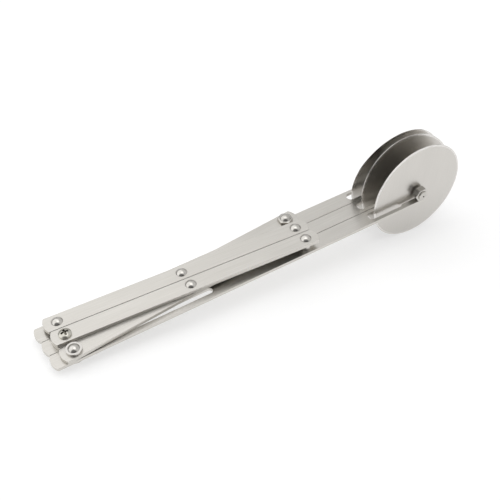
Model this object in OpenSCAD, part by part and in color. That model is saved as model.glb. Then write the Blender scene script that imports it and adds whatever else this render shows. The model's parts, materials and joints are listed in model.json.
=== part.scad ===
// Expandable dough cutter: round blades on flat steel arms, spaced by a lazy-tongs lattice.
// The bars lie in three layers: arms at the bottom, lower links between, upper links on top.
// The links lie on the arms at the handle and climb to spacers at the fixed pivots.
// Built closed, standing on its blades and on the nut of its locking screw.

/* [Bars] */
// Width of every flat bar
bar_w = 12.7; // [10:0.1:16]
// Thickness of every flat bar
bar_t = 2.5; // [1.8:0.1:4]
// Radius of the shallow arc that ends every bar
bar_end_r = 11; // [8.5:0.5:20]
// Gap between neighbouring arms when the lattice is closed
side_gap = 0.4; // [0.3:0.1:2]

/* [Lattice] */
// Length of half a link, from an end pivot to its centre pivot
half_link_l = 90; // [65:1:130]
// Length of a link past its end pivots
link_end = 9.5; // [7:0.5:14]
// Height of the lower links above the arms at the fixed pivots
pivot_lift = 3; // [1:0.1:5]
// Travel of the sliding pivots along the arms
slide_travel = 100; // [40:1:105]

/* [Arms] */
// Length of an arm behind its sliding pivot
arm_tail = 16.5; // [10:0.5:40]
// Distance from an arm's fixed pivot to its axle
axle_reach = 101; // [75:1:160]
// Width of the fork slot in which a blade turns
fork_w = 7; // [5.5:0.1:9]
// Gap between a blade's edge and the rounded end of its fork slot
fork_end_gap = 5; // [1:0.5:15]
// Length of the axle seat on each prong, behind the axle
seat_back = 15; // [9:0.5:16]
// Length of a prong past the axle
prong_over = 5; // [4:0.5:12]

/* [Blades] */
// Diameter of a blade
blade_d = 80; // [60:1:110]
// Thickness of a blade
blade_t = 1; // [0.6:0.1:1.6]
// Width of the bevel on each side of the cutting edge
bevel_w = 1.4; // [0.4:0.1:4]
// Thickness left at the cutting edge
edge_t = 0.4; // [0.1:0.05:0.6]
// Play of a blade along its axle, to each side
blade_play = 1.15; // [1.1:0.05:1.3]
// Share of the photographed blades' lean on their loose axles: 0 stands all blades upright
lean_share = 1; // [0:0.05:1]

/* [Axles] */
// Diameter of an axle
axle_d = 6; // [4:0.5:8]
// Width across the flats of an axle's nut and head
nut_af = 10; // [9:0.5:13]
// Height of an axle's nut
nut_h = 5; // [3:0.1:5.2]
// Height of an axle's head
axle_head_h = 2.4; // [1.5:0.1:2.6]
// Diameter of the peened end of an axle
peen_d = 7.4; // [6:0.1:8.8]
// Height of the peened end of an axle
peen_h = 1.8; // [0.8:0.1:2]
// Height of the low dome on the peened end
peen_dome_h = 0.6; // [0.4:0.1:0.8]

/* [Rivets] */
// Diameter of every pivot's shank
shank_d = 4.5; // [3:0.1:6]
// Diameter of a domed head
dome_d = 8.2; // [6.5:0.1:10]
// Height of a domed head
dome_h = 2.1; // [1:0.1:3.5]
// Diameter of the peened head under an arm
foot_d = 7.4; // [6.2:0.1:9]
// Height of the peened head under an arm
foot_h = 1.3; // [0.6:0.1:2.5]
// Diameter of the flush foot in a lower link
flush_d = 7; // [6.2:0.1:9]
// Depth of the flush foot in a lower link
flush_h = 1.2; // [0.6:0.1:1.6]

/* [Washers] */
// Diameter of the plain washer under a slot
washer_d = 10; // [8:0.1:12]
// Thickness of the plain washer under a slot
washer_t = 0.8; // [0.5:0.1:1.5]
// Diameter of the thick washer on the right lower link
collar_d = 11; // [9:0.1:12.4]
// Thickness of the thick washer on the right lower link
collar_t = 1.8; // [1:0.1:3]
// Diameter of a spacer between an arm and a link
spacer_d = 9; // [7:0.1:11]

/* [Locking screw] */
// Diameter of the pan head
pan_d = 8.8; // [7:0.1:11]
// Height of the pan head
pan_h = 2.6; // [1.8:0.1:4]
// Height of the pan head's straight rim
pan_rim_h = 1; // [0.4:0.1:1.4]
// Length of each arm of the cross recess, tip to tip
cross_l = 5.4; // [3:0.1:6]
// Width of each arm of the cross recess
cross_w = 1.5; // [0.6:0.1:1.8]
// Depth of the cross recess
cross_h = 1.8; // [0.6:0.1:2]
// Width across the flats of the locking nut
lock_af = 8; // [7:0.5:11]
// Height of the locking nut
lock_h = 3.2; // [2:0.1:5]

/* [Cap nut] */
// Width across the flats of the cap nut
cap_af = 10; // [8:0.5:10.5]
// Height of the cap nut's hexagon
cap_hex_h = 2; // [1.6:0.1:5]
// Turn of the cap nut's corners from the left arm's length
cap_turn = 25; // [0:1:59]
// Diameter of the cap nut's dome
cap_d = 8.4; // [6.5:0.1:9]
// Height of the cap nut's dome
cap_h = 2.4; // [1:0.1:4]

/* [Fits] */
// Radial clearance of a pin that turns in its hole
turn_fit = 0.06; // [0.02:0.01:0.1]
// Radial clearance of a pin that is fixed in its hole
fixed_fit = 0.02; // [0.01:0.01:0.05]
// Radial clearance of a blade on its axle, which lets it lean
blade_fit = 0.1; // [0.05:0.01:0.1]
// Clearance on each side of a pin that slides in a slot
slot_fit = 0.2; // [0.1:0.05:0.4]
// Gap between flat faces that slide on each other
slide_gap = 0.15; // [0.1:0.05:0.3]

/* [Hidden] */
$fn = 96;

// Overrun of every cut
over = 1;
steel = [0.78, 0.77, 0.75];
bright_steel = [0.84, 0.83, 0.82];

// Lean about x and turn about z of each blade, left to right, as shares of what its bore allows
blade_lean_shares = [[0.94, -0.32], [-0.9, -0.5], [0, 0]];
// Depth of the punch mark in a peened end, against the dome's height
punch_share = 1.3;
// Depth to which a shank runs into its head, against the head's height
bite_share = 0.3;
// Radius of a nut's chamfer circle against half its width across the flats
chamfer_share = 0.95;
// Angle of a nut's chamfer
chamfer_angle = 30;

// Lattice, seen from above: the sliding pivots stand at x = 0, the fixed ones at pivot_span
arm_pitch = bar_w + side_gap;
closed_angle = asin(arm_pitch / (2 * half_link_l));
pivot_span = 2 * half_link_l * cos(closed_angle);
arm_y = [arm_pitch, 0, -arm_pitch];
shank_r = shank_d / 2;
slot_r = shank_r + slot_fit;

// Arms: their own frame has z = 0 at half their thickness
arm_top = bar_t / 2;
arm_low = -bar_t / 2;

// Lattice: its frame has z = 0 under the lower links (layer 1), below the upper links (layer 2)
lattice_angle = asin((pivot_lift - slide_gap) / (pivot_span + link_end));
lattice_z = arm_top + slide_gap + link_end * sin(lattice_angle);
layer_step = bar_t + slide_gap;
function layer_low(n) = (n - 1) * layer_step;
function layer_top(n) = layer_low(n) + bar_t;

// Heights of the arms' faces on a pivot at x, in the lattice's frame
function arm_top_at(x) = (arm_top - lattice_z - x * sin(lattice_angle)) / cos(lattice_angle);
function arm_low_at(x) = arm_top_at(x) - bar_t / cos(lattice_angle);
// Clearance that a flat round piece needs from an arm because it stands square to the lattice
function slope_gap(d) = d / 2 * tan(lattice_angle);
fixed_low = arm_low_at(pivot_span) - slope_gap(foot_d);
slide_low = arm_low_at(slide_travel) - slide_gap - slope_gap(washer_d) - washer_t;

// Axle: its nut and head sit with one flat on the prongs, and its blade is loose on it
axle_x = pivot_span + axle_reach;
axle_z = arm_top + nut_af / 2;
blade_r = blade_d / 2;
bore_r = axle_d / 2 + blade_fit;
loose_angle = atan(blade_fit / blade_t) * lean_share;
nut_face_y = blade_t / 2 + blade_play;
seat_gap = nut_face_y + slide_gap;

// Stance: the blades and the lower corner of the locking nut, or the arms' tails, touch the ground
function corner_d(af) = af / cos(30);
lock_low = slide_low - lock_h;
lock_corner = -corner_d(lock_af) / 2;
lock_foot = [
  lock_corner * cos(lattice_angle) - lock_low * sin(lattice_angle),
  lattice_z + lock_corner * sin(lattice_angle) + lock_low * cos(lattice_angle)
];
function ground_angle(p) =
  asin(blade_r / norm([axle_x - p[0], axle_z - p[1]])) - atan2(axle_z - p[1], axle_x - p[0]);
tilt = min(ground_angle([-arm_tail, arm_low]), ground_angle(lock_foot));
back_x = -arm_tail * cos(tilt) - arm_top * sin(tilt);
front_x = axle_x * cos(tilt) - axle_z * sin(tilt) + blade_r;
axle_height = axle_x * sin(tilt) + axle_z * cos(tilt);

// Stands the arms' frame on the ground, centred along x
module stand() {
  translate([-(back_x + front_x) / 2, 0, blade_r - axle_height])
    rotate([0, -tilt, 0])
      children();
}

// Lays the lattice's frame over one arm
module over_arm(side) {
  stand()
    translate([0, arm_y[side], lattice_z])
      rotate([0, -lattice_angle, 0])
        children();
}

// Flat bar along x from x0 to x1, standing on the plane z, each end a shallow arc
module bar(x0, x1, z) {
  translate([0, 0, z])
    linear_extrude(bar_t)
      intersection() {
        translate([x0, -bar_w / 2])
          square([x1 - x0, bar_w]);
        union() {
          translate([x0 + bar_end_r, 0])
            circle(r = bar_end_r);
          translate([x1 - bar_end_r, 0])
            circle(r = bar_end_r);
          translate([x0 + bar_end_r, -bar_w / 2])
            square([x1 - x0 - 2 * bar_end_r, bar_w]);
        }
      }
}

// Round hole through a bar that stands on the plane z
module hole(x, r, z) {
  translate([x, 0, z - over])
    cylinder(r = r, h = bar_t + 2 * over);
}

// Slot through an arm, with round ends about x0 and x1
module slot(x0, x1, r) {
  hole(x0, r, arm_low);
  hole(x1, r, arm_low);
  translate([x0, -r, arm_low - over])
    cube([x1 - x0, 2 * r, bar_t + 2 * over]);
}

// Fork slot: wide round the blade, narrower between the two seats that carry the axle
module fork_cut() {
  back = axle_x - blade_r - fork_end_gap + fork_w / 2;
  seat = axle_x - seat_back;
  front = axle_x + prong_over + over;
  half = fork_w / 2;
  hole(back, half, arm_low);
  translate([0, 0, arm_low - over])
    linear_extrude(bar_t + 2 * over)
      polygon([
        [back, -half], [seat - half + seat_gap, -half], [seat, -seat_gap], [front, -seat_gap],
        [front, seat_gap], [seat, seat_gap], [seat - half + seat_gap, half], [back, half]
      ]);
}

// Arm: a slot for its sliding pivot, a hole for its fixed one, a fork for its blade
module arm(side) {
  color(steel)
    difference() {
      stand()
        translate([0, arm_y[side], 0])
          difference() {
            bar(-arm_tail, axle_x + prong_over, arm_low);
            slot(0, slide_travel, slot_r);
            fork_cut();
          }
      over_arm(side)
        hole(pivot_span, shank_r + fixed_fit, arm_low_at(pivot_span));
    }
}

// Link from a sliding pivot to the fixed pivot of the next arm; fits are those of its three holes
module link(side, turn, layer, fits) {
  over_arm(side)
    rotate([0, 0, turn])
      color(steel)
        difference() {
          bar(-link_end, 2 * half_link_l + link_end, layer_low(layer));
          for (n = [0:2])
            hole(n * half_link_l, shank_r + fits[n], layer_low(layer));
          if (layer == 1)
            translate([half_link_l, 0, layer_low(layer)])
              flush_foot(turn_fit);
        }
}

// Cone of a flush foot, wider by the clearance; its mouth overruns when it is a cut
module flush_foot(gap) {
  slope = (flush_d - shank_d) / 2 / flush_h;
  low = gap > 0 ? over : 0;
  translate([0, 0, -low])
    cylinder(r1 = flush_d / 2 + gap + low * slope, r2 = shank_r + gap, h = flush_h + low);
}

// Low dome on the plane z = 0
module dome(d, h) {
  r = (d * d / 4 + h * h) / (2 * h);
  intersection() {
    translate([0, 0, h - r])
      sphere(r = r);
    cylinder(r = r + over, h = h + over);
  }
}

// Dome that hangs below the plane z = 0
module hung_dome(d, h) {
  mirror([0, 0, 1])
    dome(d, h);
}

// Hexagon along z with both rims chamfered and a corner on the x axis
module hexagon(af, h) {
  rim = af / 2 * chamfer_share;
  flare = rim + h / tan(chamfer_angle);
  intersection() {
    cylinder(d = corner_d(af), h = h, $fn = 6);
    cylinder(r1 = flare, r2 = rim, h = h);
    cylinder(r1 = rim, r2 = flare, h = h);
  }
}

// Puts a fastener on one arm's sliding pivot (fixed = 0) or fixed pivot (fixed = 1)
module at_pivot(side, fixed) {
  over_arm(side)
    translate([fixed * pivot_span, 0, 0])
      color(bright_steel)
        children();
}

// Puts a fastener on the centre pivot of the link that starts at one arm
module at_centre(side, turn) {
  over_arm(side)
    rotate([0, 0, turn])
      translate([half_link_l, 0, 0])
        color(bright_steel)
          children();
}

// Plain ring round a shank, between two heights
module ring(low, high, d) {
  translate([0, 0, low])
    difference() {
      cylinder(d = d, h = high - low);
      translate([0, 0, -over])
        cylinder(r = shank_r + fixed_fit, h = high - low + 2 * over);
    }
}

// Peened shank between two heights, its head below the lower one
module peened_shank(low, high) {
  foot = low - foot_h * bite_share;
  translate([0, 0, foot])
    cylinder(r = shank_r, h = high - foot);
  translate([0, 0, low])
    hung_dome(foot_d, foot_h);
}

// Rivet: a peened shank with a dome on top
module rivet(low, high) {
  peened_shank(low, high + dome_h * bite_share);
  translate([0, 0, high])
    dome(dome_d, dome_h);
}

// Round blade bevelled to its edge from both sides, leaning on its axle
module blade(side) {
  flat_r = blade_r - bevel_w;
  lean = loose_angle * blade_lean_shares[side];
  stand()
    translate([axle_x, arm_y[side], axle_z])
      rotate([90 + lean[0], 0, lean[1]])
        color(bright_steel)
          rotate_extrude($fn = 180)
            polygon([
              [bore_r, -blade_t / 2], [flat_r, -blade_t / 2], [blade_r, -edge_t / 2],
              [blade_r, edge_t / 2], [flat_r, blade_t / 2], [bore_r, blade_t / 2]
            ]);
}

// Puts a piece on an axle, with z along the axle towards the nut's side
module at_axle(side) {
  stand()
    translate([axle_x, arm_y[side], axle_z])
      rotate([90, 0, 0])
        color(bright_steel)
          children();
}

// Axle: low hexagon head, plain shank, end peened over the nut with a punch mark in it
module axle(side) {
  end = nut_face_y + nut_h;
  punch_h = peen_dome_h * punch_share;
  at_axle(side)
    difference() {
      union() {
        translate([0, 0, -nut_face_y - axle_head_h])
          hexagon(nut_af, axle_head_h);
        translate([0, 0, -nut_face_y - axle_head_h * bite_share])
          cylinder(d = axle_d, h = nut_face_y + end + (axle_head_h + peen_h) * bite_share);
        translate([0, 0, end])
          cylinder(d = peen_d, h = peen_h - peen_dome_h);
        translate([0, 0, end + peen_h - peen_dome_h])
          dome(peen_d, peen_dome_h);
      }
      translate([0, 0, end + peen_h - punch_h])
        cylinder(r1 = 0, r2 = 2 * punch_h, h = 2 * punch_h);
    }
}

module axle_nut(side) {
  at_axle(side)
    translate([0, 0, nut_face_y])
      difference() {
        hexagon(nut_af, nut_h);
        translate([0, 0, -over])
          cylinder(r = axle_d / 2 + fixed_fit, h = nut_h + 2 * over);
      }
}

// Rivet through both links of one crossing, its lower end flush so that it clears the arms
module centre_rivet(side) {
  at_centre(side, -closed_angle) {
    translate([0, 0, layer_low(1)]) {
      flush_foot(0);
      cylinder(r = shank_r, h = layer_top(2) - layer_low(1) + dome_h * bite_share);
    }
    translate([0, 0, layer_top(2)])
      dome(dome_d, dome_h);
  }
}

// Bolt of the left arm's fixed pivot: only a lower link turns on it, and a cap nut closes it
module pivot_bolt_left() {
  at_pivot(0, 1)
    peened_shank(fixed_low, layer_top(1) + slide_gap + cap_hex_h);
}

module cap_nut_left() {
  at_pivot(0, 1)
    translate([0, 0, layer_top(1) + slide_gap]) {
      difference() {
        rotate([0, 0, cap_turn])
          hexagon(cap_af, cap_hex_h);
        translate([0, 0, -over])
          cylinder(r = shank_r + fixed_fit, h = cap_hex_h + over);
      }
      translate([0, 0, cap_hex_h])
        dome(cap_d, cap_h);
    }
}

module pivot_rivet(side) {
  at_pivot(side, 1)
    rivet(fixed_low, layer_top(2) + slide_gap);
}

// Spacer that holds the links of one layer off an arm
module pivot_spacer(side, layer) {
  at_pivot(side, 1)
    ring(arm_top_at(pivot_span) + slope_gap(spacer_d), layer_low(layer) - slide_gap, spacer_d);
}

// Sliding pivots: a rivet, or the locking screw, that hangs from a link and runs in the arm's slot,
// with play below the arm because it climbs with the lattice as it slides
module slide_rivet(side, high) {
  at_pivot(side, 0)
    rivet(slide_low, high);
}

module slide_washer(side) {
  at_pivot(side, 0)
    ring(slide_low, slide_low + washer_t, washer_d);
}

module slide_spacer_left() {
  at_pivot(0, 0)
    ring(layer_low(1), layer_low(2), spacer_d);
}

module slide_collar_right() {
  at_pivot(2, 0)
    ring(layer_top(1), layer_top(1) + collar_t, collar_d);
}

module lock_screw() {
  at_pivot(1, 0) {
    translate([0, 0, lock_low])
      cylinder(r = shank_r, h = layer_top(2) + pan_rim_h * bite_share - lock_low);
    translate([0, 0, layer_top(2)])
      difference() {
        union() {
          cylinder(d = pan_d, h = pan_rim_h);
          translate([0, 0, pan_rim_h])
            dome(pan_d, pan_h - pan_rim_h);
        }
        translate([0, 0, pan_h - cross_h])
          for (turn = [0, 90])
            rotate([0, 0, turn])
              translate([-cross_l / 2, -cross_w / 2, 0])
                cube([cross_l, cross_w, cross_h + over]);
      }
  }
}

module lock_nut() {
  at_pivot(1, 0)
    translate([0, 0, lock_low])
      difference() {
        hexagon(lock_af, lock_h);
        translate([0, 0, -over])
          cylinder(r = shank_r + fixed_fit, h = lock_h + 2 * over);
      }
}

arm(0);  // arm_left
arm(1);  // arm_middle
arm(2);  // arm_right
link(0, -closed_angle, 2, [fixed_fit, fixed_fit, turn_fit]);  // upper_link_left
link(1, -closed_angle, 2, [fixed_fit, fixed_fit, turn_fit]);  // upper_link_right
link(1, closed_angle, 1, [turn_fit, turn_fit, turn_fit]);  // lower_link_left
link(2, closed_angle, 1, [fixed_fit, turn_fit, turn_fit]);  // lower_link_right
blade(0);  // blade_left
blade(1);  // blade_middle
blade(2);  // blade_right
axle(0);  // axle_left
axle(1);  // axle_middle
axle(2);  // axle_right
axle_nut(0);  // axle_nut_left
axle_nut(1);  // axle_nut_middle
axle_nut(2);  // axle_nut_right
centre_rivet(0);  // centre_rivet_left
centre_rivet(1);  // centre_rivet_right
pivot_bolt_left();
cap_nut_left();
pivot_rivet(1);  // pivot_rivet_middle
pivot_rivet(2);  // pivot_rivet_right
pivot_spacer(0, 1);  // pivot_spacer_left
pivot_spacer(1, 1);  // pivot_spacer_middle
pivot_spacer(2, 2);  // pivot_spacer_right
slide_rivet(0, layer_top(2));  // slide_rivet_left
slide_spacer_left();
slide_washer(0);  // slide_washer_left
lock_screw();
slide_washer(1);  // lock_washer
lock_nut();
slide_rivet(2, layer_top(1) + collar_t);  // slide_rivet_right
slide_collar_right();
slide_washer(2);  // slide_washer_right
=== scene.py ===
import json
import math
import bmesh
import bpy
from mathutils import Matrix, Vector


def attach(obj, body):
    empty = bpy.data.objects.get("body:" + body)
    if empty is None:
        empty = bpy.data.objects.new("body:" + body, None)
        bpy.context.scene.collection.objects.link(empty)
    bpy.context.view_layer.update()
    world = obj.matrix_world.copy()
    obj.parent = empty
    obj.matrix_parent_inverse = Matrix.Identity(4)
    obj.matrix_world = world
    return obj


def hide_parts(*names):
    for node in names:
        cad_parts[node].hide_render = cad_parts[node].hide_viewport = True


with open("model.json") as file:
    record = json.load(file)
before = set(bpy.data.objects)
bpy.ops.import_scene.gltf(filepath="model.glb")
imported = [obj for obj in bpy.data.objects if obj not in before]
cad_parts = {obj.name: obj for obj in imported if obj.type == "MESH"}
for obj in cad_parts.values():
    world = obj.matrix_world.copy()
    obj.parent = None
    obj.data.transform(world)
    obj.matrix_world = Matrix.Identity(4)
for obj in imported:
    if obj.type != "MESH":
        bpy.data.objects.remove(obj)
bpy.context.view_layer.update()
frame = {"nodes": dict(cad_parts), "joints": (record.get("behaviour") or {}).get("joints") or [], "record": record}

nodes = frame["nodes"]
joints = {joint["name"]: joint for joint in frame["joints"]}
bodies = frame["record"]["behaviour"]["bodies"]
bodyOf = {member: body for body, members in bodies.items() for member in members}
mm = 0.001


def toLinear(hexText):
    # sRGB hex to the linear colour that Blender works in
    channels = [int(hexText[i:i + 2], 16) / 255 for i in (1, 3, 5)]
    return [c / 12.92 if c <= 0.04045 else ((c + 0.055) / 1.055) ** 2.4 for c in channels] + [1.0]


def addNode(tree, kind, inputs=None, **settings):
    # settings are the node's own properties, inputs are values or the sockets that feed it
    node = tree.nodes.new(kind)
    for key, value in settings.items():
        setattr(node, key, value)
    for key, value in (inputs or {}).items():
        if isinstance(value, bpy.types.NodeSocket):
            tree.links.new(value, node.inputs[key])
        else:
            node.inputs[key].default_value = value
    return node


# what all the steels share: the noise is read from noiseLow to noiseHigh, where nearly all of it lies
# clouds are drawn out along the grain, and a quarter turn lays the blur of a highlight across it
surface = dict(grainDetail=3.0, grainRoughness=0.65, cloudDetail=2.0, noiseLow=0.3, noiseHigh=0.7,
               cloudStart=(3.7, 1.9, 0), cloudAlong=0.4, bumpStrength=0.5, blurTurn=0.25)


def steel(name, finish):
    # bare or plated steel: long grain and soft clouds move its colour, gloss and surface a little
    material = bpy.data.materials.new(name)
    material.use_nodes = True
    tree = material.node_tree
    tree.nodes.clear()
    low, high = surface["noiseLow"], surface["noiseHigh"]
    roughness, glossGrain = finish["roughness"], finish["glossGrain"]
    place = addNode(tree, "ShaderNodeUVMap", uv_map="grain")    # millimetres along and across the grain
    grainAt = addNode(tree, "ShaderNodeMapping", {
        "Vector": place.outputs[0], "Scale": (1 / finish["grainLength"], 1 / finish["grainWidth"], 1)})
    grain = addNode(tree, "ShaderNodeTexNoise", {
        "Vector": grainAt.outputs[0], "Scale": 1.0, "Detail": surface["grainDetail"],
        "Roughness": surface["grainRoughness"]})
    cloudAt = addNode(tree, "ShaderNodeMapping", {
        "Vector": place.outputs[0], "Location": surface["cloudStart"],
        "Scale": (surface["cloudAlong"] / finish["cloudSize"], 1 / finish["cloudSize"], 1)})
    cloud = addNode(tree, "ShaderNodeTexNoise", {
        "Vector": cloudAt.outputs[0], "Scale": 1.0, "Detail": surface["cloudDetail"]})
    streak = addNode(tree, "ShaderNodeMapRange", {
        "Value": grain.outputs[0], "From Min": low, "From Max": high})
    tone = addNode(tree, "ShaderNodeMix", {    # 6 and 7 are the mix node's two colours
        0: streak.outputs[0], 6: toLinear(finish["dark"]), 7: toLinear(finish["light"])}, data_type="RGBA")
    shade = addNode(tree, "ShaderNodeMapRange", {
        "Value": cloud.outputs[0], "From Min": low, "From Max": high,
        "To Min": 1 - finish["clouding"], "To Max": 1.0})
    colour = addNode(tree, "ShaderNodeVectorMath", {
        0: tone.outputs[2], "Scale": shade.outputs[0]}, operation="SCALE")
    grainGloss = addNode(tree, "ShaderNodeMapRange", {
        "Value": grain.outputs[0], "From Min": low, "From Max": high,
        "To Min": roughness - glossGrain, "To Max": roughness + glossGrain})
    cloudGloss = addNode(tree, "ShaderNodeMath", {
        0: cloud.outputs[0], 1: finish["glossCloud"], 2: grainGloss.outputs[0]}, operation="MULTIPLY_ADD")
    bump = addNode(tree, "ShaderNodeBump", {
        "Height": grain.outputs[0], "Strength": surface["bumpStrength"], "Distance": finish["bump"] * mm})
    tangent = addNode(tree, "ShaderNodeTangent", direction_type="UV_MAP", uv_map="grain")
    shader = addNode(tree, "ShaderNodeBsdfPrincipled", {
        "Base Color": colour.outputs[0], "Metallic": 1.0, "Roughness": cloudGloss.outputs[0],
        "Anisotropic": finish["anisotropy"], "Anisotropic Rotation": surface["blurTurn"],
        "Normal": bump.outputs[0], "Tangent": tangent.outputs[0]})
    addNode(tree, "ShaderNodeOutputMaterial", {"Surface": shader.outputs[0]})
    return material


# flat bar brushed on a belt along its length: pale, with fine long streaks and soft reflections
# the belt's lines are about 0.05 mm apart, too fine to show, so they are drawn ten times coarser
brushedFlatBar = steel("brushedStainlessFlatBar", dict(
    light="#dcd9d4", dark="#ccc9c2", grainLength=45, grainWidth=0.5, cloudSize=22, clouding=0.05,
    roughness=0.30, glossGrain=0.04, glossCloud=0.06, anisotropy=0.6, bump=0.006))

# the bar's edges, broken by tumbling: their lighter colour is a painted highlight, a thin line round each bar
edgePaintedHighlight = steel("tumbledStainlessEdgePaintedHighlight", dict(
    light="#e4e2de", dark="#d6d3ce", grainLength=6, grainWidth=0.6, cloudSize=9, clouding=0.06,
    roughness=0.2, glossGrain=0.04, glossCloud=0.06, anisotropy=0.0, bump=0.003))

# cold-rolled stainless sheet with the satin skin of the rolls: even, with a faint grain one way
rolledSheet = steel("satinRolledStainlessSheet", dict(
    light="#d2cfca", dark="#cecbc6", grainLength=30, grainWidth=0.8, cloudSize=26, clouding=0.04,
    roughness=0.26, glossGrain=0.006, glossCloud=0.05, anisotropy=0.2, bump=0.0006))

# bevel ground on a wheel after the sheet was cut: brighter than the face, with short marks
groundBevel = steel("groundStainlessBevel", dict(
    light="#ebe9e6", dark="#d5d2ce", grainLength=1.2, grainWidth=5, cloudSize=8, clouding=0.05,
    roughness=0.2, glossGrain=0.05, glossCloud=0.04, anisotropy=0.0, bump=0.003))

# rivet heads formed cold in a die: glossy domes with a small sharp highlight
coldHeadedRivet = steel("coldHeadedStainlessRivet", dict(
    light="#d8d5d0", dark="#c6c3bd", grainLength=2.5, grainWidth=2.0, cloudSize=4, clouding=0.08,
    roughness=0.13, glossGrain=0.03, glossCloud=0.08, anisotropy=0.0, bump=0.004))

# nuts and axles cut from drawn bar: flat sides with a little drawing grain
drawnHexagon = steel("drawnStainlessHexagon", dict(
    light="#d6d3ce", dark="#bbb8b2", grainLength=5, grainWidth=0.6, cloudSize=5, clouding=0.10,
    roughness=0.18, glossGrain=0.05, glossCloud=0.08, anisotropy=0.0, bump=0.005))

# washers and spacers turned and tumbled: satin rings, less glossy than the rivets
tumbledRing = steel("tumbledStainlessRing", dict(
    light="#d9d6d2", dark="#c8c5c0", grainLength=3, grainWidth=0.7, cloudSize=5, clouding=0.06,
    roughness=0.2, glossGrain=0.04, glossCloud=0.08, anisotropy=0.0, bump=0.004))

# steel screw with bright nickel plate: glossy and a little yellower than the rest
nickelPlatedScrew = steel("nickelPlatedScrewSteel", dict(
    light="#d8d6cd", dark="#c0bdb2", grainLength=2.5, grainWidth=1.5, cloudSize=3, clouding=0.10,
    roughness=0.12, glossGrain=0.03, glossCloud=0.08, anisotropy=0.0, bump=0.004))

# marks punched into an axle's end: dull from the punch, and darkened with painted shade
punchPaintedShade = steel("punchedSteelRecessPaintedShade", dict(
    light="#4a4741", dark="#34312c", grainLength=0.8, grainWidth=0.8, cloudSize=2, clouding=0.15,
    roughness=0.5, glossGrain=0.05, glossCloud=0.1, anisotropy=0.0, bump=0.01))

# the screw's cross: its walls shine a little, and painted shade keeps them darker than the head
crossPaintedShade = steel("nickelPlatedCrossPaintedShade", dict(
    light="#8b887e", dark="#6e6b62", grainLength=0.8, grainWidth=0.8, cloudSize=2, clouding=0.15,
    roughness=0.35, glossGrain=0.05, glossCloud=0.1, anisotropy=0.0, bump=0.008))
print("materials made", len(bpy.data.materials))

# how each solid is made ready: lengths in millimetres, angles in degrees, facing is a cosine
dressing = dict(mergeWithin=0.001, flatWithin=0.5, sharpFrom=35, facing=0.7)


def dress(name, materials, along, up, edge, edgeSegments=2, faceMaterial=None):
    # a copy of the solid with whole faces, broken edges and its grain mapped in millimetres
    mesh = nodes[name].data.copy()
    if "custom_normal" in mesh.attributes:
        mesh.attributes.remove(mesh.attributes["custom_normal"])
    mesh.materials.clear()
    for material in materials:
        mesh.materials.append(material)
    shape = bmesh.new()
    shape.from_mesh(mesh)
    bmesh.ops.remove_doubles(shape, verts=shape.verts, dist=dressing["mergeWithin"] * mm)
    bmesh.ops.dissolve_limit(shape, angle_limit=math.radians(dressing["flatWithin"]),
                             verts=shape.verts, edges=shape.edges)
    across = up.cross(along).normalized()
    while shape.loops.layers.uv:
        shape.loops.layers.uv.remove(shape.loops.layers.uv[0])
    grain = shape.loops.layers.uv.new("grain")
    shape.normal_update()
    for face in shape.faces:
        face.smooth = True
        face.material_index = faceMaterial(face) if faceMaterial else 0
        onTop = abs(face.normal.dot(up)) > dressing["facing"]
        onEnd = abs(face.normal.dot(along)) > dressing["facing"]
        for loop in face.loops:
            at = loop.vert.co / mm
            u = at.dot(across) if onEnd else at.dot(along)
            v = at.dot(across) if onTop else at.dot(up)
            loop[grain].uv = (u, v)
    shape.to_mesh(mesh)
    shape.free()
    mesh.set_sharp_from_angle(angle=math.radians(dressing["sharpFrom"]))
    piece = bpy.data.objects.new(name + "_dressed", mesh)
    bpy.context.scene.collection.objects.link(piece)
    if edge:
        broken = piece.modifiers.new("brokenEdges", "BEVEL")
        broken.width = edge * mm
        broken.segments = edgeSegments
        broken.limit_method = "ANGLE"
        broken.angle_limit = math.radians(dressing["sharpFrom"])
        broken.harden_normals = True
        # the bevel's faces take the last material: on the bars, that is the edge colour with the painted highlight
        broken.material = len(materials) - 1
    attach(piece, bodyOf[name])
    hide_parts(name)


# the arms lie at armTilt on the table, and the links turn linkTurn each way in the lattice's own slope
bars = dict(armTilt=5.387, linkTurn=4.174, edge=0.28, edgeSegments=3)
rightToLeft = Vector((0, 1, 0))
armUp = Vector((-math.sin(math.radians(bars["armTilt"])), 0, math.cos(math.radians(bars["armTilt"]))))
linkUp = Vector(joints["lattice_open"]["axis"]).normalized()


def alongBar(up, turn):
    return Matrix.Rotation(math.radians(turn), 3, up) @ rightToLeft.cross(up).normalized()


for name in nodes:
    if name.startswith("arm_"):
        up, turn = armUp, 0
    elif name.startswith("lower_link"):
        up, turn = linkUp, bars["linkTurn"]
    elif name.startswith("upper_link"):
        up, turn = linkUp, -bars["linkTurn"]
    else:
        continue
    dress(name, [brushedFlatBar, edgePaintedHighlight], alongBar(up, turn), up,
          bars["edge"], bars["edgeSegments"])
print("bars dressed")

# millimetres: where a blade's flat face ends, and the slack in telling it from the bevel
blades = dict(flatRadius=38.6, slack=0.1)
for side in ("left", "middle", "right"):
    spin = joints["blade_" + side + "_spin"]
    centre = Vector(spin["pos_m"])
    axis = Vector(spin["axis"]).normalized()
    downBlade = (Vector((0, 0, -1)) - axis * -axis.z).normalized()

    def onBevel(face, centre=centre, axis=axis):
        reach = [((v.co - centre) - axis * (v.co - centre).dot(axis)).length for v in face.verts]
        return 1 if min(reach) / mm > blades["flatRadius"] - blades["slack"] else 0

    dress("blade_" + side, [rolledSheet, groundBevel], downBlade, axis, 0, faceMaterial=onBevel)
print("blades dressed")

# broken edges, then where the cross and the punch marks lie, in millimetres and cosines of their walls
fasteners = dict(edge=0.16, ringEdge=0.12, domeEdge=0.1,
                 crossReach=2.75, crossDepth=1.85, crossFloor=1.6, crossWall=0.3,
                 punchReach=0.95, punchSteep=0.3, punchFlat=0.9)
alongAxle = alongBar(armUp, 0)


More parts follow.
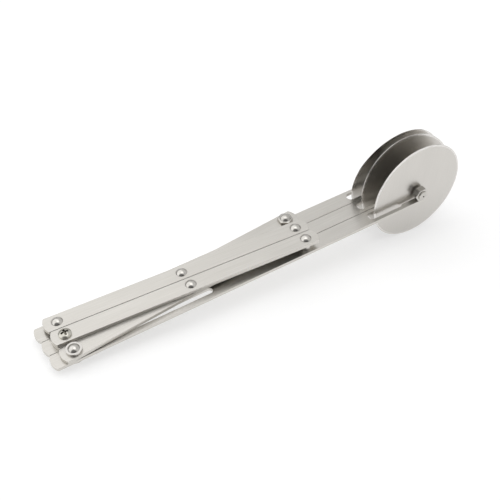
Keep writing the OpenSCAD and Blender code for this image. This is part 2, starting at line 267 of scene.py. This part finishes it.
def inCross(face):
    # walls and floor of the cross recess in the screw's head, which take the painted shade
    middle = face.calc_center_median() - lockTop
    below = -middle.dot(linkUp) / mm
    reach = (middle - linkUp * middle.dot(linkUp)).length / mm
    near = reach < fasteners["crossReach"] and below < fasteners["crossDepth"]
    wall = abs(face.normal.dot(linkUp)) < fasteners["crossWall"]
    return 1 if near and (wall or below > fasteners["crossFloor"]) else 0


def inPunch(face):
    # cone of the punch mark in an axle's peened end, which takes the painted shade
    middle = face.calc_center_median() - axleAt
    reach = (middle - rightToLeft * middle.dot(rightToLeft)).length / mm
    cone = fasteners["punchSteep"] < abs(face.normal.dot(rightToLeft)) < fasteners["punchFlat"]
    return 1 if cone and reach < fasteners["punchReach"] else 0


screwPoints = [v.co for v in nodes["lock_screw"].data.vertices]
headTop = max(point.dot(linkUp) for point in screwPoints)
lockAxis = sum((point - linkUp * point.dot(linkUp) for point in screwPoints), Vector()) / len(screwPoints)
lockTop = lockAxis + linkUp * headTop
for name in nodes:
    if name.startswith("axle_nut"):
        dress(name, [drawnHexagon], rightToLeft, alongAxle, fasteners["edge"])
    elif name.startswith("axle_"):
        axleAt = Vector(joints[name.replace("axle_", "blade_") + "_spin"]["pos_m"])
        dress(name, [drawnHexagon, punchPaintedShade, drawnHexagon], rightToLeft, alongAxle,
              fasteners["edge"], faceMaterial=inPunch)
    elif name in ("cap_nut_left", "lock_nut"):
        dress(name, [drawnHexagon], linkUp, rightToLeft, fasteners["edge"])
    elif "washer" in name or "spacer" in name or "collar" in name:
        dress(name, [tumbledRing], alongBar(linkUp, 0), linkUp, fasteners["ringEdge"])
    elif name == "lock_screw":
        dress(name, [nickelPlatedScrew, crossPaintedShade, nickelPlatedScrew], alongBar(linkUp, 0),
              linkUp, fasteners["domeEdge"], faceMaterial=inCross)
    elif "rivet" in name or "bolt" in name:
        dress(name, [coldHeadedRivet], alongBar(linkUp, 0), linkUp, fasteners["domeEdge"])
print("fasteners dressed")

# pale studio floor: its glow makes it white to the camera and in the metal
# the paper under the glow keeps the cutter's shadow
floor = dict(radius=3.4, sides=96, colour="#c8c8c8", glow=0.55)
floorMesh = bpy.data.meshes.new("studioFloor")
shape = bmesh.new()
bmesh.ops.create_circle(shape, cap_ends=True, segments=floor["sides"], radius=floor["radius"])
shape.to_mesh(floorMesh)
shape.free()
floorObject = bpy.data.objects.new("studioFloor", floorMesh)
bpy.context.scene.collection.objects.link(floorObject)
floorMaterial = bpy.data.materials.new("paperFloor")
floorMaterial.use_nodes = True
tree = floorMaterial.node_tree
tree.nodes.clear()
rays = addNode(tree, "ShaderNodeLightPath")
mirrored = addNode(tree, "ShaderNodeMath", {
    0: rays.outputs["Is Glossy Ray"], 1: rays.outputs["Is Transmission Ray"]}, operation="ADD")
seen = addNode(tree, "ShaderNodeMath", {
    0: rays.outputs["Is Camera Ray"], 1: mirrored.outputs[0]}, operation="ADD")
glow = addNode(tree, "ShaderNodeMath", {0: seen.outputs[0], 1: floor["glow"]}, operation="MULTIPLY")
paper = addNode(tree, "ShaderNodeBsdfDiffuse", {"Color": toLinear(floor["colour"])})
white = addNode(tree, "ShaderNodeEmission", {"Color": (1, 1, 1, 1), "Strength": glow.outputs[0]})
both = addNode(tree, "ShaderNodeAddShader", {0: paper.outputs[0], 1: white.outputs[0]})
addNode(tree, "ShaderNodeOutputMaterial", {"Surface": both.outputs[0]})
floorMesh.materials.append(floorMaterial)

# studio: a bright sheet overhead on the handle's side, dark on the camera's side, dimmer near the horizon
studio = dict(level=0.76, bright=0.58, brightAt=(-0.48, 0.08, 0.87), brightFrom=0.55, brightTo=0.65,
              dark=0.85, darkAt=(-0.45, -0.72, 0.48), darkFrom=0.60, darkTo=0.86,
              horizon=0.3, horizonTo=0.4)
world = bpy.data.worlds.new("studioWalls")
bpy.context.scene.world = world
world.use_nodes = True
tree = world.node_tree
tree.nodes.clear()
look = addNode(tree, "ShaderNodeTexCoord")
towards = addNode(tree, "ShaderNodeVectorMath", {
    0: look.outputs["Generated"], 1: Vector(studio["brightAt"]).normalized()}, operation="DOT_PRODUCT")
lift = addNode(tree, "ShaderNodeMapRange", {
    "Value": towards.outputs["Value"], "From Min": studio["brightFrom"], "From Max": studio["brightTo"],
    "To Min": studio["level"], "To Max": studio["level"] + studio["bright"]},
    interpolation_type="SMOOTHSTEP")
away = addNode(tree, "ShaderNodeVectorMath", {
    0: look.outputs["Generated"], 1: Vector(studio["darkAt"]).normalized()}, operation="DOT_PRODUCT")
drop = addNode(tree, "ShaderNodeMapRange", {
    "Value": away.outputs["Value"], "From Min": studio["darkFrom"], "From Max": studio["darkTo"],
    "To Min": 1.0, "To Max": 1 - studio["dark"]}, interpolation_type="SMOOTHSTEP")
level = addNode(tree, "ShaderNodeMath", {0: lift.outputs[0], 1: drop.outputs[0]}, operation="MULTIPLY")
height = addNode(tree, "ShaderNodeSeparateXYZ", {0: look.outputs["Generated"]})
low = addNode(tree, "ShaderNodeMapRange", {
    "Value": height.outputs["Z"], "From Min": 0.0, "From Max": studio["horizonTo"],
    "To Min": studio["horizon"], "To Max": 1.0}, interpolation_type="SMOOTHSTEP")
walls = addNode(tree, "ShaderNodeMath", {0: level.outputs[0], 1: low.outputs[0]}, operation="MULTIPLY")
background = addNode(tree, "ShaderNodeBackground", {"Color": (1, 1, 1, 1), "Strength": walls.outputs[0]})
addNode(tree, "ShaderNodeOutputWorld", {"Surface": background.outputs[0]})

# soft box overhead: the small highlights on the rivets
softBox = dict(place=(-0.06, -0.02, 0.85), size=0.45, power=0.3)
lamp = bpy.data.lights.new("softBox", "AREA")
lamp.size = softBox["size"]
lamp.energy = softBox["power"]
lampObject = bpy.data.objects.new("softBox", lamp)
lampObject.location = softBox["place"]
bpy.context.scene.collection.objects.link(lampObject)
print("studio made")

# camera at the photograph's angle: place and nearest distance in metres, lens and sensor in millimetres
camera = dict(place=(-0.29234, -0.39585, 0.45601), angles=(48.5073, -3.6179, -32.1809),
              lens=66.3254, sensor=36, nearest=0.01)
cameraData = bpy.data.cameras.new("photoCamera")
cameraData.lens = camera["lens"]
cameraData.sensor_width = camera["sensor"]
cameraData.clip_start = camera["nearest"]
cameraObject = bpy.data.objects.new("photoCamera", cameraData)
cameraObject.location = camera["place"]
cameraObject.rotation_euler = [math.radians(angle) for angle in camera["angles"]]
bpy.context.scene.collection.objects.link(cameraObject)
bpy.context.scene.camera = cameraObject
bpy.context.scene.view_settings.view_transform = "Standard"
print("camera set")
